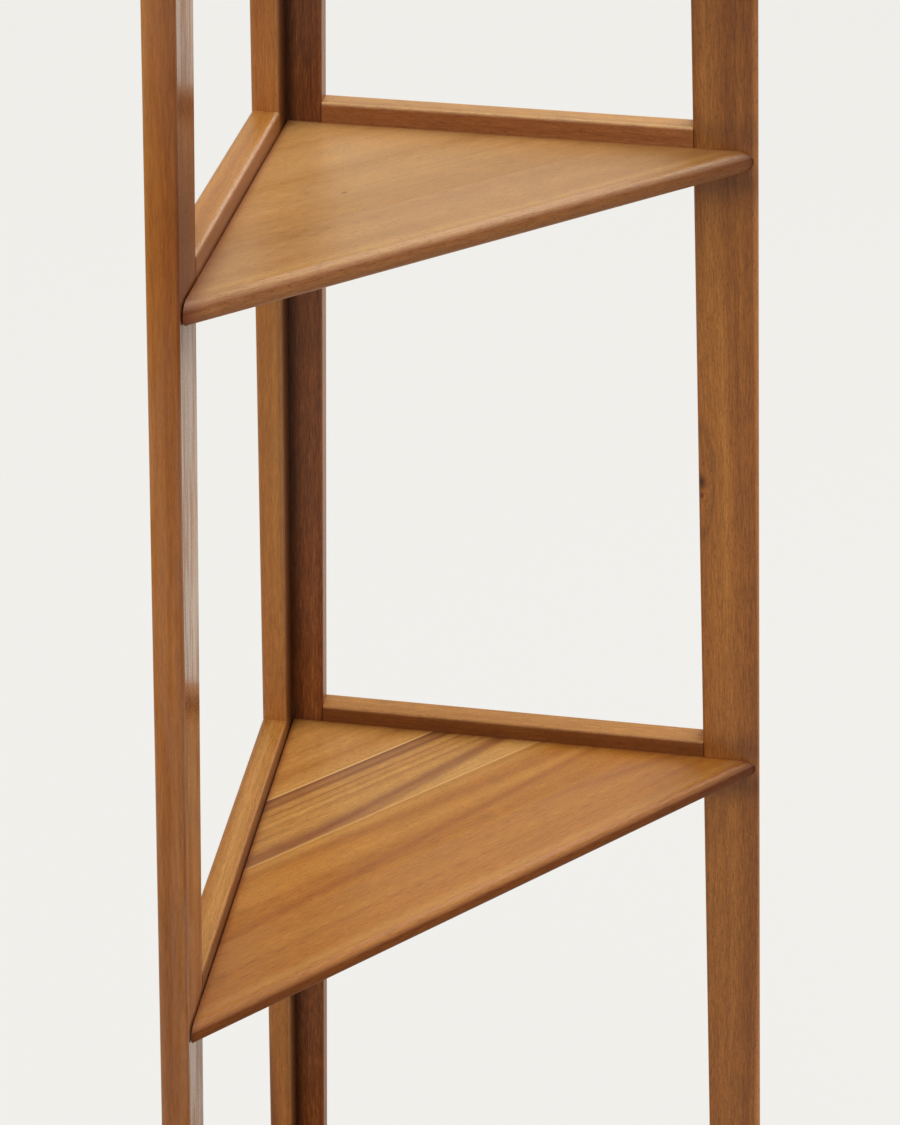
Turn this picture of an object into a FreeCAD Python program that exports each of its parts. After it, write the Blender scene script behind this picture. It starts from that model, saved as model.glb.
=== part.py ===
import FreeCAD, Part
import math
import os

import Sketcher

# Corner shelving unit for outdoors, in solid oiled acacia. Two ladder frames stand at a
# right angle and carry triangular shelves between them. Each frame has an upright rear
# post, a front post that leans in towards the top, and one rail along each shelf. The
# shelves are screwed on through the rails. The two rear posts lap in the corner and are
# bolted together from behind.
#
# The model is built about the inner corner, where the faces of the two frames meet at
# floor level: the right frame runs along +X, the left frame along -Y, and +Z is up. The
# finished pieces are then moved so that the origin is the middle of the footprint.

sizes = {
    "overall_height": 1800.0,        # floor to the tops of the posts
    "leg_at_floor": 446.0,           # inner corner to the front edge of a leaning post, at the floor
    "post_lean": 177.0,              # how much nearer to the corner that edge is at the top
    "frame_thickness": 20.0,         # posts and rails alike
    "post_width": 45.0,              # measured level, across the face of a post
    "lowest_shelf": 150.0,           # floor to the top face of the lowest shelf
    "top_drop": 120.0,               # tops of the posts down to the top shelf
    "shelf_thickness": 16.0,
    "shelf_setback": 2.5,            # nose of a shelf behind the front edges of the posts
    "shelf_gap": 1.0,                # between a shelf and the left frame
    "stave_width": 62.0,             # boards of a shelf; its rear one takes what is left
    "rail_lip": 14.0,                # top of a rail above the shelf that it borders
    "rail_below": 10.0,              # bottom of a rail below the shelf
    "arris_radius": 2.5,             # rounded long edges of posts and rails
    "dowel_diameter": 8.0,
    "dowel_length": 30.0,
    "dowel_spacing": 20.0,           # between the two dowels in a rail's end
    "screw_diameter": 4.0,
    "screw_head_diameter": 8.0,
    "screw_head_depth": 2.5,
    "screw_tip": 4.0,
    "screw_socket_radius": 1.7,
    "screw_socket_depth": 1.4,
    "screw_bite": 25.0,              # length of a screw past the inner face of its rail
    "bolt_diameter": 6.0,
    "bolt_head_diameter": 12.0,
    "bolt_head_depth": 3.5,
    "bolt_socket_radius": 2.3,
    "bolt_socket_depth": 2.4,
    "bolt_past_nut": 5.0,            # end of a corner bolt past the middle of its nut
    "bolt_drop": 40.0,               # corner bolt below a rail, or below the post tops
    "nut_diameter": 10.0,
    "nut_length": 14.0,
    "nut_recess": 1.0,               # end of a barrel nut below the face of the post
    "nut_slot_width": 1.2,
    "nut_slot_depth": 1.0,
    "glide_diameter": 15.0,
    "glide_thickness": 3.0,
    "glide_chamfer": 1.0,
    "glide_stem_diameter": 4.0,
    "glide_stem_length": 12.0,
    "cut_overrun": 1.0,              # how far a cutter stands out of the face it opens
    "nose_share": 0.49,              # radius of a shelf's round nose, of the shelf's thickness
}
staveCounts = (5, 4, 4, 3)   # for each shelf, from the floor up
squareCornerCount = 4
hexCornerCount = 6

# Levels count from 0 at the lowest shelf, and the shelves are spread evenly
levels = range(len(staveCounts))
topLevel = levels[-1]

doc = FreeCAD.newDocument("CornerShelving")
sheet = doc.addObject("Spreadsheet::Sheet", "Sizes")
for row, (alias, value) in enumerate(sizes.items(), start=1):
    sheet.set(f"A{row}", alias.replace("_", " "))
    sheet.set(f"B{row}", str(value))
    sheet.setAlias(f"B{row}", alias)
doc.recompute()

axisX = FreeCAD.Vector(1, 0, 0)
axisY = FreeCAD.Vector(0, 1, 0)
axisZ = FreeCAD.Vector(0, 0, 1)
quarterTurn = 90
fullTurn = 360

# The plane that a frame's outlines are drawn in, and how pieces modelled along Z are
# turned: along the frame from the corner to the front, or with their heads outwards.
sides = {
    "right": {
        "plane": "XZ_Plane",
        "alongFrame": FreeCAD.Rotation(axisY, quarterTurn),
        "headOutward": FreeCAD.Rotation(axisX, -quarterTurn),
    },
    "left": {
        "plane": "YZ_Plane",
        "alongFrame": FreeCAD.Rotation(axisX, quarterTurn),
        "headOutward": FreeCAD.Rotation(axisY, -quarterTurn),
    },
}


# Formulas for the expressions that bind the pieces to the sheet

def leg(height):
    """Front edge of a leaning post, from the inner corner, at a height."""
    return f"(Sizes.leg_at_floor - Sizes.post_lean * {height} / Sizes.overall_height)"


def shelfTop(level):
    rise = "(Sizes.overall_height - Sizes.top_drop - Sizes.lowest_shelf)"
    return f"(Sizes.lowest_shelf + {level} * {rise} / {topLevel})"


def shelfUnderside(level):
    return f"({shelfTop(level)} - Sizes.shelf_thickness)"


def railTop(level):
    return f"({shelfTop(level)} + Sizes.rail_lip)"


def railBottom(level):
    return f"({shelfUnderside(level)} - Sizes.rail_below)"


def innerEdge(height):
    """Edge of a leaning post that a rail butts against."""
    return f"({leg(height)} - Sizes.post_width)"


def shelfDepth(level):
    """Square distance from the inner corner to a shelf's front edge."""
    return f"(({leg(shelfTop(level))} - Sizes.shelf_setback) / sqrt(2))"


def staveEdge(level, index):
    """Front edge of a stave, square from the inner corner; stave 0 has the nose."""
    return f"({shelfDepth(level)} - {index} * Sizes.stave_width)"


rearEdge = "(Sizes.post_width - Sizes.frame_thickness)"
midThickness = "Sizes.frame_thickness / 2"
postFoot = "Sizes.glide_thickness"


def framePoint(side, along, outward):
    """X and Y of a point given along a frame and outwards from its inner face."""
    if side == "right":
        return along, outward
    return f"-({outward})", f"-({along})"


# Outlines, places and rounded edges

def drawOutline(body, name, plane, points):
    """Closed outline on one of a body's own planes, each corner bound to two formulas."""
    sketch = body.newObject("Sketcher::SketchObject", name)
    support = [item for item in body.Origin.OriginFeatures if item.Role == plane]
    sketch.AttachmentSupport = [(support[0], "")]
    sketch.MapMode = "FlatFace"
    count = len(points)
    ring = []
    for index in range(count):
        turn = 2 * math.pi * index / count
        ring.append(FreeCAD.Vector(math.cos(turn), math.sin(turn), 0))
    for index in range(count):
        sketch.addGeometry(Part.LineSegment(ring[index], ring[(index + 1) % count]))
    for index in range(count):
        sketch.addConstraint(Sketcher.Constraint("Coincident", index, 2, (index + 1) % count, 1))
    for index, formulas in enumerate(points):
        starts = (ring[index].x, ring[index].y)
        for kind, start, formula in zip(("DistanceX", "DistanceY"), starts, formulas):
            bound = sketch.addConstraint(Sketcher.Constraint(kind, -1, 1, index, 1, start))
            sketch.setExpression(f"Constraints[{bound}]", formula)
    return sketch


def placeAt(item, x="0", y="0", z="0", turn=None):
    item.Placement = FreeCAD.Placement(FreeCAD.Vector(), turn or FreeCAD.Rotation())
    for axis, formula in (("x", x), ("y", y), ("z", z)):
        item.setExpression(f".Placement.Base.{axis}", formula)


def edgeNames(shape, edges):
    """Names of the given edges, for a fillet."""
    return [f"Edge{number}" for number, edge in enumerate(shape.Edges, start=1)
            if any(edge.isSame(wanted) for wanted in edges)]


def longestEdges(shape, count):
    return sorted(shape.Edges, key=lambda edge: edge.Length, reverse=True)[:count]


def roundEdges(body, base, name, edges, radius):
    fillet = body.newObject("PartDesign::Fillet", name)
    fillet.Base = (base, edgeNames(base.Shape, edges))
    fillet.setExpression("Radius", radius)
    return fillet


# Every finished piece moves by the same step, from the inner corner to the middle of
# the footprint.
halfSpan = f"(({leg(postFoot)} - Sizes.frame_thickness) / 2)"
pieces = []


def finishPiece(item, name):
    item.Label = name
    placeAt(item, x=f"-{halfSpan}", y=halfSpan)
    pieces.append(item)
    return item


def drillPiece(blank, name, fasteners):
    """A wooden piece with the holes that its fasteners fill."""
    cutters = doc.addObject("Part::Compound", f"{name}_holes")
    cutters.Links = fasteners
    drilled = doc.addObject("Part::Cut", f"{name}_drilled")
    drilled.Base = blank
    drilled.Tool = cutters
    return finishPiece(drilled, name)


def groupPieces(name, members):
    group = doc.addObject("Part::Compound", f"{name}_group")
    group.Links = members
    return finishPiece(group, name)


def copyOf(source, name, x, y, z, turn):
    twin = doc.addObject("App::Link", name)
    twin.LinkedObject = source
    placeAt(twin, x, y, z, turn)
    return twin


# Boards: an outline in the frame's plane, given thickness and rounded long edges

def makeBoard(name, side, outline, roundTop=False):
    body = doc.addObject("PartDesign::Body", f"{name}_body")
    if side == "left":
        outline = [(f"-({along})", height) for along, height in outline]
    sketch = drawOutline(body, f"{name}_outline", sides[side]["plane"], outline)
    pad = body.newObject("PartDesign::Pad", f"{name}_pad")
    pad.Profile = sketch
    pad.setExpression("Length", "Sizes.frame_thickness")
    pad.Reversed = True
    doc.recompute()
    edges = longestEdges(pad.Shape, 4)
    if roundTop:
        top = max(vertex.Z for vertex in pad.Shape.Vertexes)
        edges += [edge for edge in pad.Shape.Edges
                  if all(math.isclose(vertex.Z, top) for vertex in edge.Vertexes)]
    roundEdges(body, pad, f"{name}_arris", edges, "Sizes.arris_radius")
    return body


def makePost(name, side, footRear, footFront, topFront, topRear):
    outline = [
        (footRear, postFoot),
        (footFront, postFoot),
        (topFront, "Sizes.overall_height"),
        (topRear, "Sizes.overall_height"),
    ]
    return makeBoard(name, side, outline, roundTop=True)


def makeFrontPost(side):
    top = "Sizes.overall_height"
    return makePost(f"{side}_front_post", side, innerEdge(postFoot), leg(postFoot),
                    leg(top), innerEdge(top))


def makeRearPost(side):
    """The right rear post laps behind the end of the left one, and both show alike."""
    back = "-Sizes.frame_thickness" if side == "right" else "0"
    return makePost(f"{side}_rear_post", side, back, rearEdge, rearEdge, back)


def makeRail(side, level):
    top = railTop(level)
    bottom = railBottom(level)
    outline = [
        (rearEdge, bottom),
        (innerEdge(bottom), bottom),
        (innerEdge(top), top),
        (rearEdge, top),
    ]
    return makeBoard(f"{side}_rail_{level + 1}", side, outline)


def makeStave(level, index, last):
    """One board of a shelf. Its own X runs square out from the corner to the nose."""
    name = f"shelf_{level + 1}_stave_{index + 1}"
    body = doc.addObject("PartDesign::Body", f"{name}_body")
    front = staveEdge(level, index)
    leftGap = "Sizes.shelf_gap * sqrt(2)"
    outline = [(front, front), (front, f"{leftGap} - {front}")]
    if last:
        outline += [("Sizes.shelf_gap / sqrt(2)", "Sizes.shelf_gap / sqrt(2)")]
    else:
        rear = staveEdge(level, index + 1)
        outline += [(rear, f"{leftGap} - {rear}"), (rear, rear)]
    sketch = drawOutline(body, f"{name}_outline", "XY_Plane", outline)
    pad = body.newObject("PartDesign::Pad", f"{name}_pad")
    pad.Profile = sketch
    pad.setExpression("Length", "Sizes.shelf_thickness")
    doc.recompute()
    if index == 0:
        roundEdges(body, pad, f"{name}_nose", longestEdges(pad.Shape, 2),
                   "Sizes.shelf_thickness * Sizes.nose_share")
    placeAt(body, z=shelfUnderside(level), turn=FreeCAD.Rotation(axisZ, -quarterTurn / 2))
    return body


# Fasteners: modelled once, head up at the origin, and copied to their places

def turnProfile(name, profile):
    body = doc.addObject("PartDesign::Body", f"{name}_turned")
    sketch = drawOutline(body, f"{name}_profile", "XZ_Plane", profile)
    revolution = body.newObject("PartDesign::Revolution", f"{name}_revolution")
    revolution.Profile = sketch
    revolution.ReferenceAxis = (sketch, ["V_Axis"])
    revolution.Angle = fullTurn
    return body


def makeSocketed(name, length, corners, kind):
    """A countersunk fastener, plain to cut its hole and with its drive socket."""
    headRadius = f"Sizes.{kind}_head_diameter / 2"
    shankRadius = f"Sizes.{kind}_diameter / 2"
    profile = [
        ("0", "0"),
        (headRadius, "0"),
        (shankRadius, f"-Sizes.{kind}_head_depth"),
        (shankRadius, f"Sizes.screw_tip - {length}"),
        ("0", f"-({length})"),
    ]
    plain = turnProfile(name, profile)
    socket = doc.addObject("Part::Prism", f"{name}_socket")
    socket.Polygon = corners
    socket.setExpression("Circumradius", f"Sizes.{kind}_socket_radius")
    socket.setExpression("Height", f"Sizes.{kind}_socket_depth + Sizes.cut_overrun")
    placeAt(socket, z=f"-Sizes.{kind}_socket_depth")
    driven = doc.addObject("Part::Cut", f"{name}_driven")
    driven.Base = plain
    driven.Tool = socket
    return plain, driven


def makeBarrelNut():
    """A steel cylinder across the post, threaded through for the corner bolt."""
    depth = "(Sizes.nut_length + Sizes.nut_recess)"
    radius = "Sizes.nut_diameter / 2"
    outline = [("0", "0"), (radius, "0"), (radius, f"-{depth}"), ("0", f"-{depth}")]
    bore = turnProfile("nut_bore", outline)
    barrel = doc.addObject("Part::Cylinder", "nut_barrel")
    barrel.setExpression("Radius", radius)
    barrel.setExpression("Height", "Sizes.nut_length")
    placeAt(barrel, z=f"-{depth}")
    thread = doc.addObject("Part::Cylinder", "nut_thread")
    thread.setExpression("Radius", "Sizes.bolt_diameter / 2")
    thread.setExpression("Height", "Sizes.nut_diameter + 2 * Sizes.cut_overrun")
    placeAt(thread, y="Sizes.nut_diameter / 2 + Sizes.cut_overrun", z=f"-{midThickness}",
            turn=FreeCAD.Rotation(axisX, quarterTurn))
    slot = doc.addObject("Part::Box", "nut_slot")
    slot.setExpression("Length", "Sizes.nut_diameter + 2 * Sizes.cut_overrun")
    slot.setExpression("Width", "Sizes.nut_slot_width")
    slot.setExpression("Height", "Sizes.nut_slot_depth + Sizes.cut_overrun")
    placeAt(slot, x="-(Sizes.nut_diameter / 2 + Sizes.cut_overrun)",
            y="-Sizes.nut_slot_width / 2", z="-(Sizes.nut_recess + Sizes.nut_slot_depth)")
    openings = doc.addObject("Part::Compound", "nut_openings")
    openings.Links = [thread, slot]
    nut = doc.addObject("Part::Cut", "nut_finished")
    nut.Base = barrel
    nut.Tool = openings
    return bore, nut


def makeGlide():
    """A plastic disc with a stem that is pressed into the foot of a post."""
    glideRadius = "Sizes.glide_diameter / 2"
    stemRadius = "Sizes.glide_stem_diameter / 2"
    stemTop = "Sizes.glide_thickness + Sizes.glide_stem_length"
    profile = [
        ("0", "0"),
        (f"{glideRadius} - Sizes.glide_chamfer", "0"),
        (glideRadius, "Sizes.glide_chamfer"),
        (glideRadius, "Sizes.glide_thickness"),
        (stemRadius, "Sizes.glide_thickness"),
        (stemRadius, stemTop),
        ("0", stemTop),
    ]
    return turnProfile("glide", profile)


def makeDowels(side, level, end, joint):
    """The two dowels across one joint between a rail and a post."""
    dowels = []
    middle = f"({railTop(level)} + {railBottom(level)}) / 2"
    for label, sign in (("low", "-"), ("high", "+")):
        height = f"({middle} {sign} Sizes.dowel_spacing / 2)"
        dowel = doc.addObject("Part::Cylinder", f"{side}_dowel_{level + 1}_{end}_{label}")
        dowel.setExpression("Radius", "Sizes.dowel_diameter / 2")
        dowel.setExpression("Height", "Sizes.dowel_length")
        start = f"{joint(height)} - Sizes.dowel_length / 2"
        x, y = framePoint(side, start, midThickness)
        placeAt(dowel, x, y, height, sides[side]["alongFrame"])
        dowels.append(dowel)
    return dowels


screwLength = "(Sizes.frame_thickness + Sizes.screw_bite)"
nutDepth = f"({rearEdge} / 2)"
boltLength = f"(Sizes.frame_thickness + {nutDepth} + Sizes.bolt_past_nut)"

shelfScrew = makeSocketed("shelf_screw", screwLength, squareCornerCount, "screw")
cornerBolt = makeSocketed("corner_bolt", boltLength, hexCornerCount, "bolt")
barrelNut = makeBarrelNut()
glide = makeGlide()
doc.recompute()


def copyPair(pair, name, x, y, z, turn):
    """A fastener's plain copy, which cuts the wood, and its finished copy."""
    plain = copyOf(pair[0], f"{name}_hole", x, y, z, turn)
    finished = copyOf(pair[1], name, x, y, z, turn)
    return plain, finished


# Screws: through each rail, level, into the edge of every stave

shelfScrewHoles = {}
shelfScrews = []
for level, staves in enumerate(staveCounts):
    for side in sides:
        for index in range(staves):
            far = f"{staveEdge(level, index)} * sqrt(2)" if index else innerEdge(shelfTop(level))
            near = rearEdge
            if index < staves - 1:
                near = f"{staveEdge(level, index + 1)} * sqrt(2)"
            along = f"({near} + {far} - Sizes.screw_bite) / 2"
            x, y = framePoint(side, along, "Sizes.frame_thickness")
            height = f"({shelfTop(level)} + {shelfUnderside(level)}) / 2"
            hole, screw = copyPair(shelfScrew, f"{side}_shelf_screw_{level + 1}_{index + 1}", x, y,
                                   height, sides[side]["headOutward"])
            shelfScrewHoles[side, level, index] = hole
            shelfScrews.append(screw)

# Corner bolts and their barrel nuts: one under each rail and one near the top

boltHeights = [f"{railBottom(level)} - Sizes.bolt_drop" for level in levels]
boltHeights.append("Sizes.overall_height - Sizes.bolt_drop")
boltHoles = []
bolts = []
nutHoles = []
nuts = []
for number, height in enumerate(boltHeights, start=1):
    hole, bolt = copyPair(cornerBolt, f"corner_bolt_{number}", f"-{midThickness}",
                          "Sizes.frame_thickness", height, sides["right"]["headOutward"])
    boltHoles.append(hole)
    bolts.append(bolt)
    hole, nut = copyPair(barrelNut, f"barrel_nut_{number}", "-Sizes.frame_thickness",
                         f"-{nutDepth}", height, sides["left"]["headOutward"])
    nutHoles.append(hole)
    nuts.append(nut)

# Foot glides, in the middle of each post's foot

glideCentres = {
    "right_front": framePoint("right", f"{leg(postFoot)} - Sizes.post_width / 2", midThickness),
    "left_front": framePoint("left", f"{leg(postFoot)} - Sizes.post_width / 2", midThickness),
    "right_rear": framePoint("right", f"{rearEdge} - Sizes.post_width / 2", midThickness),
    "left_rear": framePoint("left", f"{rearEdge} / 2", midThickness),
}
glides = {}
for place, (x, y) in glideCentres.items():
    glides[place] = copyOf(glide, f"{place}_glide_set", x, y, "0", FreeCAD.Rotation())

# The two frames

for side in sides:
    frontDowels = []
    rearDowels = []
    for level in levels:
        front = makeDowels(side, level, "front", innerEdge)
        rear = makeDowels(side, level, "rear", lambda height: rearEdge)
        screws = [shelfScrewHoles[side, level, index] for index in range(staveCounts[level])]
        drillPiece(makeRail(side, level), f"{side}_rail_{level + 1}", front + rear + screws)
        frontDowels += front
        rearDowels += rear
    drillPiece(makeFrontPost(side), f"{side}_front_post", frontDowels + [glides[f"{side}_front"]])
    rearHoles = rearDowels + [glides[f"{side}_rear"]] + boltHoles
    if side == "left":
        rearHoles += nutHoles
    drillPiece(makeRearPost(side), f"{side}_rear_post", rearHoles)
    groupPieces(f"{side}_frame_dowels", frontDowels + rearDowels)

# The shelves

for level, staves in enumerate(staveCounts):
    for index in range(staves):
        holes = [shelfScrewHoles[side, level, index] for side in sides]
        drillPiece(makeStave(level, index, index == staves - 1),
                   f"shelf_{level + 1}_stave_{index + 1}", holes)

groupPieces("shelf_screws", shelfScrews)
groupPieces("corner_bolts", bolts)
groupPieces("corner_barrel_nuts", nuts)
for place, glidePiece in glides.items():
    groupPieces(f"{place}_glide", [glidePiece])
doc.recompute()

# Nothing is written unless every object is sound

for item in doc.Objects:
    if "Invalid" in item.State or "Error" in item.State:
        raise RuntimeError(f"{item.Label} is {item.State}")
for piece in pieces:
    if piece.Shape.isNull() or not piece.Shape.isValid() or not piece.Shape.Solids:
        raise RuntimeError(f"{piece.Label} has no sound shape")

os.makedirs("parts", exist_ok=True)
for piece in pieces:
    piece.Shape.exportStep(f"parts/{piece.Label}.step")
    box = piece.Shape.BoundBox
    print(f"{piece.Label}: {len(piece.Shape.Solids)} solid(s), {piece.Shape.Volume:.0f} mm3, "
          f"{box.XLength:.1f} x {box.YLength:.1f} x {box.ZLength:.1f} mm")
print(f"{len(pieces)} pieces")
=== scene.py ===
import math

import bmesh
import bpy
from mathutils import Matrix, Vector

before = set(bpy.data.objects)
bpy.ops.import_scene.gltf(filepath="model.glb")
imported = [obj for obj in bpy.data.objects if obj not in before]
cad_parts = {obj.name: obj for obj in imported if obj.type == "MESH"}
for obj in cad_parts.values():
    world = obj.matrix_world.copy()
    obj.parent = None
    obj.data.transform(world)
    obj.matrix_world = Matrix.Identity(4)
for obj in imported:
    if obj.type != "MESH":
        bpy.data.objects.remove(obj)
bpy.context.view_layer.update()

# Corner shelving unit in oiled acacia, dressed for rendering. Metres, +Z up, the rear
# corner at -X +Y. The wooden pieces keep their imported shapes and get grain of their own.


# Small helpers for node trees

# An sRGB colour, 0 to 255, as the linear colour that a node wants
def colourOf(red, green, blue):
    def linear(part):
        part = part / 255
        return part / 12.92 if part <= 0.04045 else ((part + 0.055) / 1.055) ** 2.4
    return (linear(red), linear(green), linear(blue), 1)


# Inputs go by the name or number of their socket, and may be outputs of other nodes
def addNode(tree, kind, inputs=None, **settings):
    node = tree.nodes.new(kind)
    for name, value in settings.items():
        setattr(node, name, value)
    for socket, value in (inputs or {}).items():
        if isinstance(value, bpy.types.NodeSocket):
            tree.links.new(value, node.inputs[socket])
        else:
            node.inputs[socket].default_value = value
    return node


def calc(tree, operation, *values):
    node = addNode(tree, "ShaderNodeMath", dict(enumerate(values)), operation=operation)
    return node.outputs[0]


def spread(tree, value, low, high, newLow=0.0, newHigh=1.0):
    node = addNode(tree, "ShaderNodeMapRange", {
        "Value": value, "From Min": low, "From Max": high, "To Min": newLow, "To Max": newHigh})
    return node.outputs["Result"]


# The numbers are those of the Mix node's sockets for colours
def mixColours(tree, factor, first, second, blend="MIX"):
    node = addNode(tree, "ShaderNodeMix", {0: factor, 6: first, 7: second},
                   data_type="RGBA", blend_type=blend)
    return node.outputs[2]


# 1 at the middle, falling softly to 0 at about twice the reach
def bell(tree, value, middle, reach):
    away = calc(tree, "DIVIDE", calc(tree, "SUBTRACT", value, middle), reach)
    square = calc(tree, "MULTIPLY", away, away)
    return calc(tree, "EXPONENT", calc(tree, "MULTIPLY", square, -1.0))


def newMaterial(name):
    material = bpy.data.materials.new(name)
    material.use_nodes = True
    material.node_tree.nodes.clear()
    return material


def dressNode(name, material):
    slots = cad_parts[name].data.materials
    slots.clear()
    slots.append(material)


# Acacia. Every board has its own seed, tones and grain direction: the grain of a board
# runs along its length, and on the shelves it runs parallel to the front edge.

acacia = {
    # noises, with scales per metre along and across the grain
    "wander": {"scales": (1.6, 7.0), "detail": 1.0},  # how the grain drifts sideways
    "bands": {"scales": (0.8, 44.0)},  # broad streaks of colour
    "fineBands": {"scales": (2.0, 150.0), "detail": 4.0, "roughness": 0.6},  # narrow ones
    "fibres": {"scales": (80.0, 1200.0), "detail": 3.0, "roughness": 0.65},  # grain lines
    "pores": {"scales": (300.0, 1500.0), "detail": 1.0},  # short dark vessel lines
    "figure": {"scales": (30.0, 60.0), "detail": 1.0},  # faint cross figure
    "glaze": {"scales": (13.0, 270.0), "roughness": 0.6},  # where the oil stands glossier
    # the part of a noise's range over which it takes effect
    "bandRange": (0.33, 0.67),
    "fineBandRange": (0.32, 0.68),
    "fibreRange": (0.32, 0.68),
    "shadeRange": (0.3, 0.7),
    "streakRange": (0.3, 0.6),
    "poreRange": (0.56, 0.7),
    "glueRange": (0.35, 0.55),
    "glazeRange": (0.38, 0.58),
    "streakLeast": 0.55,  # how far a streak fades along the board
    "glueLeast": 0.45,    # how far a glue line fades along the board
    "glueCore": 0.3,      # share of a glue line's width at full strength
    "fibreHeight": 0.6,   # against the depth of the pores
    "bumpDistance": 0.0003,
}

# Round front edge of a shelf, as depths below its top
nose = {
    "darkening": (0.0042, 0.0015), "strength": 0.85,  # painted shade where it turns away from the light
    "thinning": (0.0052, 0.0032), "sheen": (0.08, 0.7),  # the oil is thin underneath
    "darkLine": 0.0051,
    "tipShade": 0.008,
    "paleLine": 0.0112,  # behind the front edge
}

# What a board looks like unless it says otherwise
plainBoard = {
    "onEdge": False,              # turned, so that the growth layers lie the other way
    "wander": 0.02,               # how far the grain drifts sideways
    "shares": (0.5, 0.28, 0.22),  # of bands, fine bands and fibres in the tone
    "fibre": 0.13,                # how strongly the grain lines shade it
    "figure": 0.05,               # how strongly the cross figure shades it
    "pores": 0.4,                 # how strongly the pores show
    "pore": (88, 44, 18),
    "roughness": (0.28, 0.46),
    "bump": 0.5,
    "ior": 1.42,
    "coat": None,
    "noseTop": None,
    "knots": (),
    "streaks": (),
    "glueLines": (),
    "shades": (),
}

# Tones from dark to light, and where they stand on the colour ramp
toneStops = (0.15, 0.4, 0.65, 0.9)
woods = {
    "post": ((146, 84, 34), (172, 106, 46), (190, 122, 54), (208, 142, 70)),
    "leftPost": ((148, 81, 29), (174, 102, 41), (192, 118, 48), (210, 138, 63)),
    "corner": ((158, 94, 42), (181, 112, 52), (194, 125, 59), (209, 141, 72)),
    # redder wood, made darker as painted shade for the rear post that stands in the corner
    "red": ((108, 54, 26), (134, 74, 36), (152, 90, 46), (174, 110, 60)),
    "rail": ((156, 95, 38), (176, 114, 48), (187, 126, 57), (200, 142, 73)),
    "lip": ((168, 110, 50), (190, 134, 69), (202, 147, 80), (218, 165, 96)),
    "honey": ((168, 114, 58), (180, 128, 68), (187, 136, 76), (198, 150, 90)),
    "orange": ((166, 98, 34), (184, 117, 43), (192, 127, 50), (204, 143, 64)),
    "pale": ((176, 122, 62), (196, 144, 82), (204, 154, 92), (216, 170, 108)),
    "gold": ((172, 108, 46), (194, 132, 62), (206, 146, 74), (218, 164, 96)),
    "stripe": ((180, 118, 52), (200, 142, 70), (212, 158, 84), (224, 176, 100)),
}

# Tints that several boards share: painted shade in the corner and under the shelves' tips,
# painted shade along the joints with the rails, and pale glue
darkCorner = (44, 20, 10)
darkShade = (70, 32, 14)
contactShade = (128, 54, 22)
paleGlue = (240, 194, 122)


# Noise drawn out along the grain
def grainNoise(tree, along, across, through, seed, scales, detail=2.0, roughness=0.5):
    place = addNode(tree, "ShaderNodeCombineXYZ", {
        "X": calc(tree, "MULTIPLY", along, scales[0]),
        "Y": calc(tree, "MULTIPLY", across, scales[1]),
        "Z": calc(tree, "MULTIPLY", through, scales[1])})
    noise = addNode(tree, "ShaderNodeTexNoise", {
        "Vector": place.outputs[0], "W": seed, "Scale": 1.0, "Detail": detail,
        "Roughness": roughness}, noise_dimensions="4D")
    return noise.outputs[0]


# The grain drifts sideways and bows out round knots, whose hearts are dark
def bendGrain(tree, look, along, across, through):
    drift = grainNoise(tree, along, across, through, look["seed"], **acacia["wander"])
    drift = calc(tree, "SUBTRACT", drift, 0.5)  # a noise's middle
    drift = calc(tree, "MULTIPLY", drift, look["wander"])
    bent = calc(tree, "ADD", across, drift)
    hearts = []
    for knot in look["knots"]:
        aside = calc(tree, "SUBTRACT", across, knot["across"])
        near = calc(tree, "MULTIPLY", bell(tree, along, knot["along"], knot["length"]),
                    bell(tree, across, knot["across"], knot["width"]))
        pull = calc(tree, "MULTIPLY", near, -knot["pull"])
        bent = calc(tree, "ADD", bent, calc(tree, "MULTIPLY", aside, pull))
        heart = calc(tree, "MULTIPLY", bell(tree, along, knot["along"], knot["heartLength"]),
                     bell(tree, across, knot["across"], knot["heartWidth"]))
        hearts.append(heart)
        if "ring" in knot:
            # a dark growth line that passes round it
            ring = knot["ring"]
            before = calc(tree, "SUBTRACT", along, knot["along"])
            before = calc(tree, "DIVIDE", before, ring["length"])
            aside = calc(tree, "DIVIDE", aside, ring["width"])
            away = calc(tree, "MULTIPLY_ADD", before, before,
                        calc(tree, "MULTIPLY", aside, aside))
            line = bell(tree, away, 1.0, ring["reach"])
            hearts.append(calc(tree, "MULTIPLY", line, ring["strength"]))
    return bent, hearts


# What a board's middle tone is multiplied by to reach a tint, so that its grain still shows
def shiftOf(wood, tint):
    darker, lighter = colourOf(*woods[wood][1]), colourOf(*woods[wood][2])
    goal = colourOf(*tint)
    return [2 * goal[part] / (darker[part] + lighter[part]) for part in range(3)] + [1]


# Oil that stands glossy in patches, on one face above all, and is dull where it is worn
def addCoat(tree, shader, coat, flat, patches):
    gloss = spread(tree, patches, *acacia["glazeRange"], *coat["weights"])
    worn = bell(tree, flat["Z"], coat["worn"]["at"], coat["worn"]["width"])
    gloss = calc(tree, "MULTIPLY", gloss, calc(tree, "SUBTRACT", 1.0, worn))
    axis, place, reach = coat["face"]
    onFace = spread(tree, bell(tree, flat[axis], place, reach), 0.0, 1.0, coat["elsewhere"], 1.0)
    tree.links.new(calc(tree, "MULTIPLY", gloss, onFace), shader.inputs["Coat Weight"])
    shader.inputs["Coat Roughness"].default_value = coat["roughness"]
    shader.inputs["Coat IOR"].default_value = coat["ior"]


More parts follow.
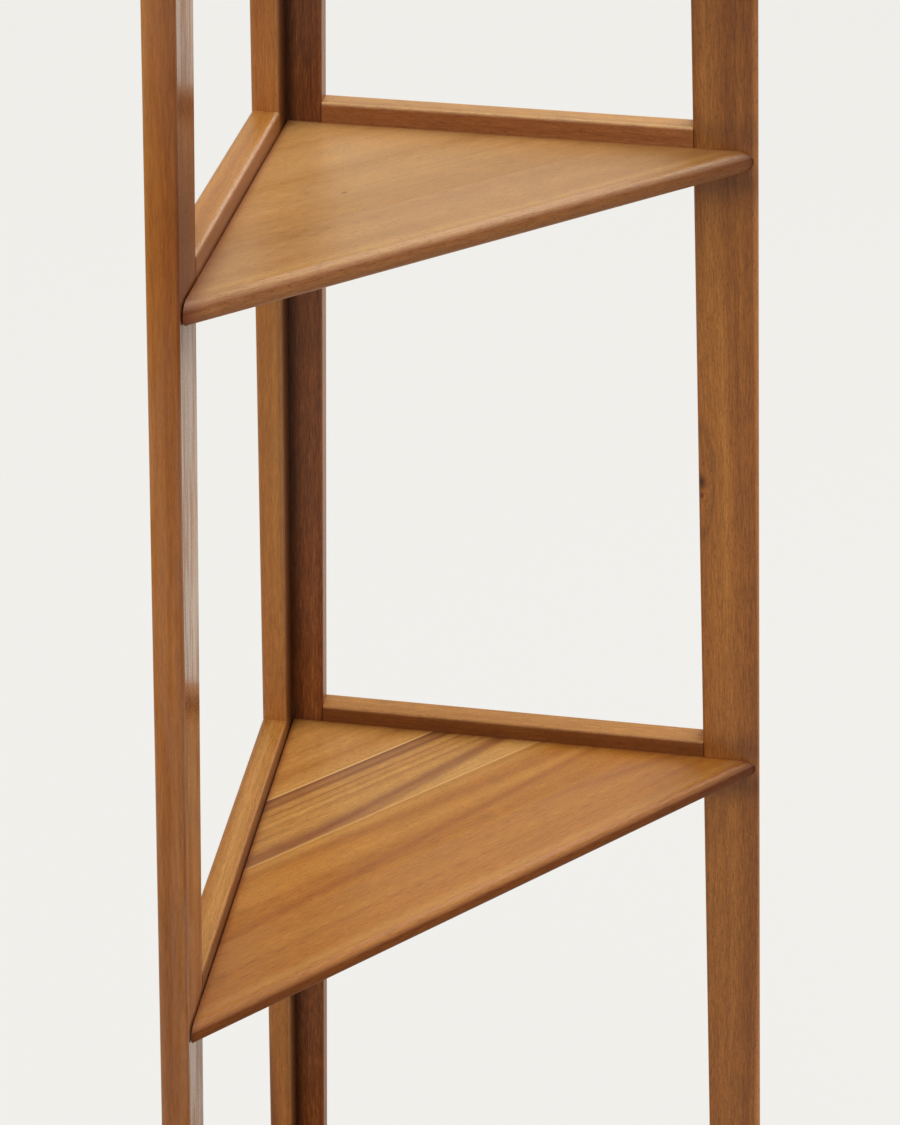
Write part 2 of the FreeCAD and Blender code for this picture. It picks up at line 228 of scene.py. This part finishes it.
def makeAcacia(name, look):
    look = {**plainBoard, **look}
    material = newMaterial(name)
    tree = material.node_tree
    spot = addNode(tree, "ShaderNodeTexCoord").outputs["Object"]
    flat = addNode(tree, "ShaderNodeSeparateXYZ", {"Vector": spot}).outputs
    turned = addNode(tree, "ShaderNodeMapping", {
        "Vector": spot, "Rotation": [math.radians(angle) for angle in look["turn"]]})
    split = addNode(tree, "ShaderNodeSeparateXYZ", {"Vector": turned.outputs[0]})
    along, across, through = split.outputs
    if look["onEdge"]:
        across, through = through, across
    bent, hearts = bendGrain(tree, look, along, across, through)

    def layer(kind, step):
        return grainNoise(tree, along, bent, through, look["seed"] + step, **acacia[kind])

    bands, fineBands, fibres = layer("bands", 1), layer("fineBands", 2), layer("fibres", 3)
    pores, figure = layer("pores", 4), layer("figure", 5)

    shares = look["shares"]
    tone = calc(tree, "MULTIPLY", spread(tree, bands, *acacia["bandRange"]), shares[0])
    tone = calc(tree, "MULTIPLY_ADD", spread(tree, fineBands, *acacia["fineBandRange"]),
                shares[1], tone)
    tone = calc(tree, "MULTIPLY_ADD", spread(tree, fibres, *acacia["fibreRange"]),
                shares[2], tone)
    ramp = addNode(tree, "ShaderNodeValToRGB", {"Fac": tone})
    stops = ramp.color_ramp.elements
    while len(stops) < len(toneStops):
        stops.new(0.5)  # moved to its place below
    for stop, place, tint in zip(stops, toneStops, woods[look["wood"]]):
        stop.position = place
        stop.color = colourOf(*tint)
    colour = ramp.outputs[0]

    for streak in look["streaks"]:
        # one growth streak, fading in and out along the board
        side = through if streak.get("deep") else bent
        if "slope" in streak:
            side = calc(tree, "MULTIPLY_ADD", along, -streak["slope"], side)
        mask = bell(tree, side, streak["across"], streak["width"])
        if "until" in streak:
            mask = calc(tree, "MULTIPLY", mask, spread(tree, along, *streak["until"], 1.0, 0.0))
        fade = spread(tree, fineBands, *acacia["streakRange"],
                      streak["strength"] * acacia["streakLeast"], streak["strength"])
        colour = mixColours(tree, calc(tree, "MULTIPLY", mask, fade), colour,
                            colourOf(*streak["tint"]))

    poreTint = colourOf(*look["pore"])
    poreMask = spread(tree, pores, *acacia["poreRange"], 0.0, look["pores"])
    colour = mixColours(tree, poreMask, colour, poreTint)
    shade = calc(tree, "MULTIPLY", *(
        spread(tree, noise, *acacia["shadeRange"], 1 - reach, 1 + reach)
        for noise, reach in ((figure, look["figure"]), (fibres, look["fibre"]))))
    grey = addNode(tree, "ShaderNodeCombineXYZ", {"X": shade, "Y": shade, "Z": shade})
    colour = mixColours(tree, 1.0, colour, grey.outputs[0], "MULTIPLY")
    for heart in hearts:
        colour = mixColours(tree, heart, colour, poreTint)

    for line in look["glueLines"]:
        # the pale edge of a board along a glued joint
        away = calc(tree, "ABSOLUTE", calc(tree, "SUBTRACT", across, line["across"]))
        near = spread(tree, away, line["width"] * acacia["glueCore"], line["width"],
                      line["strength"], 0.0)
        fade = spread(tree, fineBands, *acacia["glueRange"], acacia["glueLeast"], 1.0)
        colour = mixColours(tree, calc(tree, "MULTIPLY", near, fade), colour,
                            colourOf(*line["tint"]))

    for band in look["shades"]:
        # a soft band of another tone, mostly painted shade in angles, under edges and on faces
        # turned from the light, some painted highlight along an arris, and darker end grain
        near = bell(tree, flat[band["axis"]], band["at"], band["width"])
        near = calc(tree, "MULTIPLY", near, band["strength"])
        if "face" in band:
            axis, place, reach = band["face"]
            near = calc(tree, "MULTIPLY", near, bell(tree, flat[axis], place, reach))
        colour = mixColours(tree, near, colour, shiftOf(look["wood"], band["tint"]), "MULTIPLY")

    # painted shade where the round nose turns under, away from the light
    if look["noseTop"]:
        low, high = (look["noseTop"] - depth for depth in nose["darkening"])
        under = spread(tree, flat["Z"], low, high, nose["strength"], 0.0)
        colour = mixColours(tree, under, colour, shiftOf(look["wood"], look["noseTint"]),
                            "MULTIPLY")

    rough = spread(tree, fibres, *acacia["shadeRange"], *look["roughness"])
    height = calc(tree, "MULTIPLY", fibres, acacia["fibreHeight"])
    height = calc(tree, "SUBTRACT", height, poreMask)
    bump = addNode(tree, "ShaderNodeBump", {
        "Height": height, "Strength": look["bump"], "Distance": acacia["bumpDistance"]})
    shader = addNode(tree, "ShaderNodeBsdfPrincipled", {
        "Base Color": colour, "Roughness": rough, "Normal": bump.outputs[0],
        "IOR": look["ior"]})
    if look["noseTop"]:
        low, high = (look["noseTop"] - depth for depth in nose["thinning"])
        sheen = spread(tree, flat["Z"], low, high, *nose["sheen"])
        tree.links.new(sheen, shader.inputs["Specular IOR Level"])
    if look["coat"]:
        addCoat(tree, shader, look["coat"], flat, layer("glaze", 6))
    addNode(tree, "ShaderNodeOutputMaterial", {"Surface": shader.outputs[0]})
    return material


# Places that the looks of the boards refer to

innerFace = 0.2128     # from the middle of the unit to the inner face of each frame
innerCorner = 0.30102  # from the middle of the unit to the corner between them
unitHeight = 1.8
frontLean = 0.177      # how far the front posts lean in over that height
lowestTop = 0.15       # of the first shelf
shelfSpacing = 0.51
lipHeight = 0.014      # of the rails above the shelves


# X of a place so deep in the left frame, from its inner face
def inLeftFrame(depth):
    return -innerFace - depth


# Y of a place so deep in the right frame, from its inner face
def inRightFrame(depth):
    return innerFace + depth


# Place across a shelf's boards, from its distance square out from the corner
def fromCorner(distance):
    return innerCorner - distance


# Height of a shelf's top; shelves count from the floor up
def topOf(level):
    return lowestTop + shelfSpacing * (level - 1)


# How the boards are turned so that their grain lies along X
lean = math.degrees(math.atan2(frontLean, unitHeight))
turns = {
    "rightFront": (0, 90 + lean, 0),
    "leftFront": (lean, 90, 0),
    "upright": (0, 90, 0),
    "rightRail": (0, 0, 0),
    "leftRail": (0, 0, -90),
    "shelf": (0, 0, -45),
}

# First seeds, to which a level or a number is added so that no two boards are alike
seeds = {"rightRail": 20.0, "leftRail": 30.0, "shelf": 40.0, "perShelf": 7}

# Each shade is a soft band across an axis; its face, where it has one, is the axis, place
# and reach of the surface that shows it. Knots, streaks and glue lines go by their place
# across the board. A streak with "until" fades out between two places along it.
boards = {
    "right_front_post": {
        "wood": "post", "turn": turns["rightFront"], "seed": 3.1, "wander": 0.012,
        "onEdge": True, "fibre": 0.18,
        "knots": [{
            "along": 0.8954, "across": -0.1892, "length": 0.034, "width": 0.013,
            "pull": 0.9, "heartLength": 0.0066, "heartWidth": 0.0034,
            "ring": {"length": 0.046, "width": 0.0092, "reach": 0.3, "strength": 0.32},
        }, {
            "along": 0.8835, "across": -0.1895, "length": 0.01, "width": 0.006,
            "pull": 0.3, "heartLength": 0.0024, "heartWidth": 0.0014,
        }],
        "streaks": [
            {"across": -0.2308, "width": 0.003, "strength": 0.95, "tint": (212, 140, 78)},
            {"across": -0.2262, "width": 0.0012, "strength": 0.5, "tint": (134, 70, 30)},
        ],
        "shades": [
            # painted shade, darker towards the top of the post
            {"axis": "Z", "at": 1.46, "width": 0.3, "strength": 0.72, "tint": (98, 50, 20)},
        ],
    },
    "left_front_post": {
        "wood": "leftPost", "turn": turns["leftFront"], "seed": 8.4, "wander": 0.012,
        "fibre": 0.06, "pores": 0.15, "roughness": (0.2, 0.42), "bump": 0.7, "ior": 1.26,
        "coat": {
            "weights": (0.22, 1.0), "roughness": 0.14, "ior": 1.66,
            "worn": {"at": 1.21, "width": 0.075},
            "face": ("X", inLeftFrame(-0.0004), 0.0013), "elsewhere": 0.5,
        },
        "shades": [
            # painted shade on the inner face, above each shelf, lower down, near the top of the
            # front face and beside the front arris
            {"axis": "X", "at": inLeftFrame(0.001), "width": 0.0012, "strength": 0.55,
             "tint": (150, 76, 20)},
            {"axis": "Z", "at": 1.21, "width": 0.1, "strength": 0.9, "tint": (112, 51, 10),
             "face": ("X", inLeftFrame(-0.0002), 0.0012)},
            {"axis": "Z", "at": 0.8, "width": 0.12, "strength": 0.3, "tint": (104, 50, 18),
             "face": ("X", inLeftFrame(-0.0002), 0.0012)},
            {"axis": "Z", "at": 0.6, "width": 0.25, "strength": 0.2, "tint": (104, 56, 24)},
            {"axis": "Z", "at": 1.35, "width": 0.3, "strength": 0.32, "tint": (104, 50, 18),
             "face": ("X", inLeftFrame(0.0116), 0.011)},
            {"axis": "X", "at": inLeftFrame(0.0037), "width": 0.0018, "strength": 0.22,
             "tint": (110, 56, 22)},
        ],
    },
    "right_rear_post": {
        "wood": "red", "turn": turns["upright"], "seed": 12.7, "wander": 0.012,
        "shares": (0.34, 0.34, 0.44), "fibre": 0.24, "figure": 0.1,
        "shades": [
            # painted shade in the corner where the two rear posts meet, deeper towards the top
            {"axis": "X", "at": inLeftFrame(-0.0006), "width": 0.0052, "strength": 0.8,
             "tint": darkCorner, "face": ("Y", inRightFrame(-0.0004), 0.0024)},
            {"axis": "Z", "at": 1.5, "width": 0.36, "strength": 0.6,
             "tint": darkCorner, "face": ("Y", inRightFrame(-0.0004), 0.0024)},
        ],
    },
    "left_rear_post": {
        "wood": "corner", "turn": turns["upright"], "seed": 17.2, "wander": 0.012,
        "pores": 0.2,
        "streaks": [
            {"across": 0.2152, "deep": True, "slope": 0.06, "width": 0.0035,
             "strength": 0.45, "tint": (96, 50, 28)},
        ],
        "shades": [
            # painted shade on the inner face near the corner and over the post towards the top,
            # and a painted highlight along the front arris
            {"axis": "Y", "at": inRightFrame(0), "width": 0.012, "strength": 0.36,
             "tint": darkShade, "face": ("X", inLeftFrame(0), 0.005)},
            {"axis": "Y", "at": inRightFrame(0), "width": 0.03, "strength": 0.62,
             "tint": darkShade, "face": ("X", inLeftFrame(0), 0.005)},
            {"axis": "X", "at": inLeftFrame(0), "width": 0.0007, "strength": 0.7,
             "tint": (110, 60, 28)},
            {"axis": "X", "at": inLeftFrame(0.0017), "width": 0.0007, "strength": 0.3,
             "tint": (220, 162, 108)},
            {"axis": "Z", "at": 1.6, "width": 0.28, "strength": 0.35, "tint": (104, 56, 24)},
        ],
    },
}
# Shade on the post below a shelf's tip and above it: rise from the shelf, width, strength
tipShades = ((-0.024, 0.014, 0.45), (0.011, 0.012, 0.3))
for level in (2, 3):
    for rise, width, strength in tipShades:
        boards["right_front_post"]["shades"].append(
            {"axis": "Z", "at": topOf(level) + rise, "width": width, "strength": strength,
             "tint": darkShade, "face": ("Y", inRightFrame(-0.0002), 0.002)})
for name in ("right_front_post", "left_front_post", "right_rear_post", "left_rear_post"):
    # end grain on top drinks in more oil
    boards[name]["shades"].append(
        {"axis": "Z", "at": unitHeight, "width": 0.0008, "strength": 0.6,
         "tint": (92, 48, 22)})

# The sides of the rails that look on to a shelf are darker and redder: painted shade
railSideShades = {
    1: {"right": (110, 56, 26), "left": (110, 56, 26)},
    2: {"right": (112, 56, 24), "left": (112, 56, 24)},
    3: {"right": (144, 78, 40), "left": (131, 71, 37)},
    4: {"right": (142, 80, 40), "left": (142, 80, 40)},
}
for level, faces in railSideShades.items():
    boards[f"right_rail_{level}"] = {
        "wood": "lip" if level == 3 else "rail", "turn": turns["rightRail"],
        "seed": seeds["rightRail"] + level, "wander": 0.004, "shares": (0.42, 0.42, 0.28),
        "shades": [{"axis": "Y", "at": inRightFrame(-0.0004), "width": 0.0009,
                    "strength": 1.0, "tint": faces["right"]}]}
    boards[f"left_rail_{level}"] = {
        "wood": "rail", "turn": turns["leftRail"],
        "seed": seeds["leftRail"] + level, "wander": 0.004, "shares": (0.42, 0.42, 0.28),
        "shades": [{"axis": "X", "at": inLeftFrame(-0.0004), "width": 0.0008,
                    "strength": 0.93, "tint": faces["left"]}]}
# The third pair has a painted highlight along the top edge, near the shelf
highlightEdge = ("Z", topOf(3) + lipHeight, 0.0022)
boards["right_rail_3"]["shades"].append(
    {"axis": "Y", "at": inRightFrame(0.0016), "width": 0.001, "strength": 0.5,
     "tint": (234, 196, 140), "face": highlightEdge})
boards["left_rail_3"]["shades"].append(
    {"axis": "X", "at": inLeftFrame(0.0016), "width": 0.001, "strength": 0.34,
     "tint": (220, 190, 168), "face": highlightEdge})

# Shelves: depth from the corner square out to the front edge, and the wood of each stave
# from the front edge back
shelves = {
    1: {"depth": 0.3032, "noseTint": (152, 90, 46),
        "woods": ("honey", "orange", "honey", "orange", "honey")},
    2: {"depth": 0.2677, "noseTint": (144, 80, 37),
        # the back stave paler, as painted light where the back of the shelf falls in shade
        "woods": ("orange", "orange", "stripe", "gold")},
    3: {"depth": 0.2323, "noseTint": (168, 108, 65),
        # the back stave paler, as painted light where the posts shade the back of the shelf
        "woods": ("honey", "honey", "honey", "pale"),
        "look": {"shares": (0.26, 0.28, 0.34), "ior": 1.5},
        # the shade along the left rail widens towards the front
        "shades": [{"axis": "X", "at": inLeftFrame(-0.004), "width": 0.007, "strength": 0.6,
                    "tint": (138, 84, 48), "face": ("Y", -0.11, 0.11)}]},
    4: {"depth": 0.1968, "noseTint": (152, 90, 46),
        "woods": ("orange", "honey", "orange")},
}
for level, shelf in shelves.items():
    top = topOf(level)
    for number, wood in enumerate(shelf["woods"], start=1):
        boards[f"shelf_{level}_stave_{number}"] = {
            "wood": wood, "turn": turns["shelf"],
            "seed": seeds["shelf"] + seeds["perShelf"] * level + number,
            **shelf.get("look", {}),
            "shades": [
                # painted shade along the joints with the rails
                {"axis": "X", "at": inLeftFrame(0), "width": 0.0034, "strength": 0.7,
                 "tint": contactShade},
                {"axis": "Y", "at": inRightFrame(0.0007), "width": 0.0024, "strength": 0.8,
                 "tint": contactShade},
                *shelf.get("shades", ()),
            ]}
    front = boards[f"shelf_{level}_stave_1"]
    front.update({
        "wander": 0.004, "roughness": (0.26, 0.42),
        "noseTop": top, "noseTint": shelf["noseTint"],
        # a pale line runs behind the round nose
        "streaks": [{"across": fromCorner(shelf["depth"] - nose["paleLine"]),
                     "width": 0.0028, "strength": 0.45, "tint": (214, 164, 92)}],
    })
    rightTip = math.sqrt(2) * shelf["depth"] - innerFace
    front["shades"] += [
        # a band of painted shade just below the top of the nose
        {"axis": "Z", "at": top - nose["darkLine"], "width": 0.0017,
         "strength": 0.22, "tint": (96, 48, 20)},
        # darker towards its right tip
        {"axis": "X", "at": rightTip, "width": 0.085, "strength": 0.55,
         "tint": (140, 88, 48), "face": ("Z", top - nose["tipShade"], 0.006)},
    ]

# Second shelf: a striped board between two pale glue lines, and a redder front stave
boards["shelf_2_stave_4"]["glueLines"] = [
    {"across": fromCorner(0.0817), "width": 0.0014, "strength": 0.7, "tint": paleGlue},
]
boards["shelf_2_stave_3"].update({
    "wander": 0.005, "shares": (0.25, 0.35, 0.3),
    "streaks": [
        {"across": fromCorner(0.1398), "width": 0.0036, "strength": 0.45,
         "tint": (216, 164, 94), "until": (0.04, -0.07)},
        {"across": fromCorner(0.1362), "width": 0.0068, "strength": 1.0,
         "tint": (146, 86, 48), "until": (-0.1, 0.02)},
        {"across": fromCorner(0.1215), "width": 0.0024, "strength": 0.7,
         "tint": (150, 92, 50), "until": (-0.11, -0.03)},
        {"across": fromCorner(0.1135), "width": 0.0014, "strength": 0.5, "tint": (150, 92, 50)},
        {"across": fromCorner(0.0838), "width": 0.0022, "strength": 1.0, "tint": (124, 66, 34)},
        {"across": fromCorner(0.0915), "width": 0.002, "strength": 1.0, "tint": (130, 72, 38)},
        {"across": fromCorner(0.0875), "width": 0.0065, "strength": 0.8, "tint": (150, 92, 52)},
        {"across": fromCorner(0.1005), "width": 0.0012, "strength": 0.65, "tint": (140, 82, 44)},
        {"across": fromCorner(0.1068), "width": 0.001, "strength": 0.45, "tint": (150, 90, 46)},
        {"across": fromCorner(0.1325), "slope": 0.09, "width": 0.0046, "strength": 0.95,
         "tint": (144, 84, 46)},
        {"across": fromCorner(0.139), "slope": 0.12, "width": 0.003, "strength": 0.5,
         "tint": (146, 86, 46)},
    ],
    "glueLines": [
        {"across": fromCorner(0.0817), "width": 0.0014, "strength": 0.95, "tint": paleGlue},
        {"across": fromCorner(0.1437), "width": 0.0018, "strength": 0.6, "tint": paleGlue},
    ],
})
boards["shelf_2_stave_2"].update({
    "wander": 0.008, "shares": (0.3, 0.32, 0.3),
    "streaks": [
        {"across": fromCorner(0.149), "width": 0.0045, "strength": 0.5, "tint": (216, 162, 84)},
        {"across": fromCorner(0.159), "slope": -0.05, "width": 0.004, "strength": 0.45,
         "tint": (156, 90, 38)},
        {"across": fromCorner(0.172), "width": 0.006, "strength": 0.5, "tint": (216, 154, 70)},
        {"across": fromCorner(0.1885), "slope": 0.07, "width": 0.0038, "strength": 0.6,
         "tint": (156, 84, 36)},
    ],
    "glueLines": [
        {"across": fromCorner(0.1437), "width": 0.0012, "strength": 0.6, "tint": paleGlue},
    ],
})
front = boards["shelf_2_stave_1"]
front.update({"shares": (0.25, 0.28, 0.34), "pores": 0.28})
front["streaks"] += [
    {"across": fromCorner(0.19022), "slope": -0.147, "width": 0.0042, "strength": 0.55,
     "tint": (158, 90, 42), "until": (0.15, 0.08)},
    {"across": fromCorner(0.2395), "width": 0.002, "strength": 0.3, "tint": (150, 78, 40),
     "until": (0.2, 0.15)},
]
front["shades"] += [
    # painted shade near its right tip and towards its left tip
    {"axis": "X", "at": 0.168, "width": 0.024, "strength": 0.5, "tint": (118, 66, 36),
     "face": ("Z", topOf(2), 0.008)},
    {"axis": "Y", "at": -0.15, "width": 0.08, "strength": 0.24, "tint": (140, 78, 32)},
]

# Third shelf: paler in the middle, in part painted light, with a small knot
boards["shelf_3_stave_3"]["streaks"] = [
    {"across": fromCorner(0.07), "width": 0.032, "strength": 0.7, "tint": (208, 158, 98)},
]
boards["shelf_3_stave_2"].update({
    "pore": (112, 66, 34),
    "streaks": [
        {"across": fromCorner(0.12), "width": 0.03, "strength": 0.45, "tint": (208, 158, 98)},
    ],
    "knots": [{
        "along": -0.0481, "across": fromCorner(0.13752), "length": 0.006, "width": 0.004,
        "pull": 0.2, "heartLength": 0.0022, "heartWidth": 0.0011,
    }],
})
boards["shelf_3_stave_1"]["shades"] += [
    # painted shade on the top near its right tip, and the nose's painted shade lighter towards
    # its left tip
    {"axis": "X", "at": 0.118, "width": 0.034, "strength": 0.5, "tint": (112, 62, 34),
     "face": ("Z", topOf(3), 0.008)},
    {"axis": "Y", "at": -0.125, "width": 0.1, "strength": 0.45, "tint": (216, 162, 102),
     "face": ("Z", topOf(3) - 0.012, 0.008)},
]

for name, look in boards.items():
    dressNode(name, makeAcacia(f"oiledAcacia_{name}", look))
print("boards dressed:", len(boards))


# Fixings, dowels and glides, each in a finely mottled finish between two tints

fixings = {
    "turnedSteel": {
        "nodes": ("shelf_screws", "corner_bolts", "corner_barrel_nuts"),
        "tints": ((150, 150, 146), (168, 168, 164)), "scale": 900.0, "detail": 3.0,
        "roughness": (0.24, 0.42), "metallic": 1.0,
    },
    "blackNylon": {
        "nodes": ("left_rear_glide", "left_front_glide", "right_rear_glide",
                  "right_front_glide"),
        "tints": ((16, 16, 17), (22, 22, 23)), "scale": 2600.0, "detail": 2.0,
        "roughness": (0.5, 0.68), "bump": {"Strength": 0.4, "Distance": 0.0001},
    },
    "plainBeech": {
        "nodes": ("left_frame_dowels", "right_frame_dowels"),
        "tints": ((170, 130, 84), (196, 160, 112)), "scale": 700.0, "detail": 3.0,
        "evenRoughness": 0.6,
    },
}
mottleRange = (0.3, 0.7)  # the part of the noise's range over which roughness changes


def makeFixing(name, finish):
    material = newMaterial(name)
    tree = material.node_tree
    spot = addNode(tree, "ShaderNodeTexCoord").outputs["Object"]
    mottle = addNode(tree, "ShaderNodeTexNoise", {
        "Vector": spot, "Scale": finish["scale"], "Detail": finish["detail"]}).outputs[0]
    darker, lighter = (colourOf(*tint) for tint in finish["tints"])
    inputs = {"Base Color": mixColours(tree, mottle, darker, lighter),
              "Metallic": finish.get("metallic", 0.0)}
    if "evenRoughness" in finish:
        inputs["Roughness"] = finish["evenRoughness"]
    else:
        inputs["Roughness"] = spread(tree, mottle, *mottleRange, *finish["roughness"])
    if "bump" in finish:
        bump = addNode(tree, "ShaderNodeBump", {"Height": mottle, **finish["bump"]})
        inputs["Normal"] = bump.outputs[0]
    shader = addNode(tree, "ShaderNodeBsdfPrincipled", inputs)
    addNode(tree, "ShaderNodeOutputMaterial", {"Surface": shader.outputs[0]})
    return material


for finishName, finish in fixings.items():
    material = makeFixing(finishName, finish)
    for name in finish["nodes"]:
        dressNode(name, material)
print("fixings and glides dressed")


# Camera, as the photograph was taken

camera = {
    "place": (0.074914, -1.271914, 1.697887),
    "turn": (59.5601, -1.5532, 7.1429),
    "lens": 71.164,
    "sensor": 36.0,
    "farthest": 60.0,
}
cameraData = bpy.data.cameras.new("photoCamera")
cameraData.sensor_fit = "VERTICAL"
cameraData.sensor_height = camera["sensor"]
cameraData.lens = camera["lens"]
cameraData.clip_end = camera["farthest"]
cameraObject = bpy.data.objects.new("photoCamera", cameraData)
cameraObject.location = camera["place"]
cameraObject.rotation_euler = [math.radians(angle) for angle in camera["turn"]]
bpy.context.scene.collection.objects.link(cameraObject)
bpy.context.scene.camera = cameraObject


# Studio: pale floor, white surroundings and soft lamps

studio = {
    "floorRadius": 7.0,
    "floorSegments": 96,
    "floorTint": (204, 203, 199),
    "floorShine": 0.93,  # how much of the floor's look is its own even paleness
    "glow": (244, 243, 239),
    # reflections see a duller floor close to the unit: a painted shadow of the unit
    "dullWithin": (0.4, 1.5),
    "dullest": 0.3,
    "surroundings": (240, 239, 235),
    "mirrored": (246, 240, 224),  # what the oiled wood reflects
    "worldTint": (1.0, 0.99, 0.97, 1.0),
    "worldLight": 0.45,
    "lamps": {
        "overheadLamp": {"place": (-0.2, -0.9, 3.5), "aim": (0.0, 0.0, 0.9), "size": 1.8,
                         "power": 34.0},
        "rearLamp": {"place": (1.25, 1.65, 3.0), "aim": (0.0, 0.0, 0.9), "size": 2.0,
                     "power": 40.0},
        "leftLamp": {"place": (-1.6, -2.8, 2.0), "aim": (0.0, 0.0, 0.8), "size": 1.8,
                     "power": 4.0},
    },
}


def makeFloor():
    shape = bmesh.new()
    bmesh.ops.create_circle(shape, cap_ends=True, radius=studio["floorRadius"],
                            segments=studio["floorSegments"])
    mesh = bpy.data.meshes.new("studioFloor")
    shape.to_mesh(mesh)
    shape.free()
    floor = bpy.data.objects.new("studioFloor", mesh)
    bpy.context.scene.collection.objects.link(floor)
    material = newMaterial("paleFloor")
    tree = material.node_tree
    path = addNode(tree, "ShaderNodeLightPath").outputs
    spot = addNode(tree, "ShaderNodeTexCoord").outputs["Object"]
    away = addNode(tree, "ShaderNodeVectorMath", {0: spot}, operation="LENGTH")
    far = spread(tree, away.outputs["Value"], *studio["dullWithin"], studio["dullest"], 1.0)
    mirrored = calc(tree, "MULTIPLY", path["Is Glossy Ray"], far)
    seen = calc(tree, "MAXIMUM", path["Is Camera Ray"], mirrored)
    seen = calc(tree, "MAXIMUM", seen, path["Is Transmission Ray"])
    share = calc(tree, "MULTIPLY", seen, studio["floorShine"])
    matt = addNode(tree, "ShaderNodeBsdfDiffuse", {"Color": colourOf(*studio["floorTint"])})
    tint = mixColours(tree, path["Is Glossy Ray"], colourOf(*studio["glow"]),
                      colourOf(*studio["mirrored"]))
    glow = addNode(tree, "ShaderNodeEmission", {"Color": tint, "Strength": 1.0})
    blend = addNode(tree, "ShaderNodeMixShader", {
        "Fac": share, 1: matt.outputs[0], 2: glow.outputs[0]})
    addNode(tree, "ShaderNodeOutputMaterial", {"Surface": blend.outputs[0]})
    mesh.materials.append(material)


def makeWorld():
    world = bpy.data.worlds.new("studioWorld")
    bpy.context.scene.world = world
    world.use_nodes = True
    tree = world.node_tree
    tree.nodes.clear()
    path = addNode(tree, "ShaderNodeLightPath").outputs
    seen = calc(tree, "MAXIMUM", path["Is Camera Ray"], path["Is Glossy Ray"])
    seen = calc(tree, "MAXIMUM", seen, path["Is Transmission Ray"])
    light = addNode(tree, "ShaderNodeBackground", {
        "Color": studio["worldTint"], "Strength": studio["worldLight"]})
    tint = mixColours(tree, path["Is Glossy Ray"], colourOf(*studio["surroundings"]),
                      colourOf(*studio["mirrored"]))
    shown = addNode(tree, "ShaderNodeBackground", {"Color": tint, "Strength": 1.0})
    blend = addNode(tree, "ShaderNodeMixShader", {
        "Fac": seen, 1: light.outputs[0], 2: shown.outputs[0]})
    addNode(tree, "ShaderNodeOutputWorld", {"Surface": blend.outputs[0]})


def addLamp(name, lamp):
    data = bpy.data.lights.new(name, "AREA")
    data.shape = "SQUARE"
    data.size = lamp["size"]
    data.energy = lamp["power"]
    lampObject = bpy.data.objects.new(name, data)
    lampObject.location = lamp["place"]
    toward = Vector(lamp["aim"]) - Vector(lamp["place"])
    lampObject.rotation_euler = toward.to_track_quat("-Z", "Y").to_euler()
    bpy.context.scene.collection.objects.link(lampObject)


makeFloor()
makeWorld()
for name, lamp in studio["lamps"].items():
    addLamp(name, lamp)
bpy.context.scene.view_settings.view_transform = "Standard"
print("camera, studio and lamps placed")
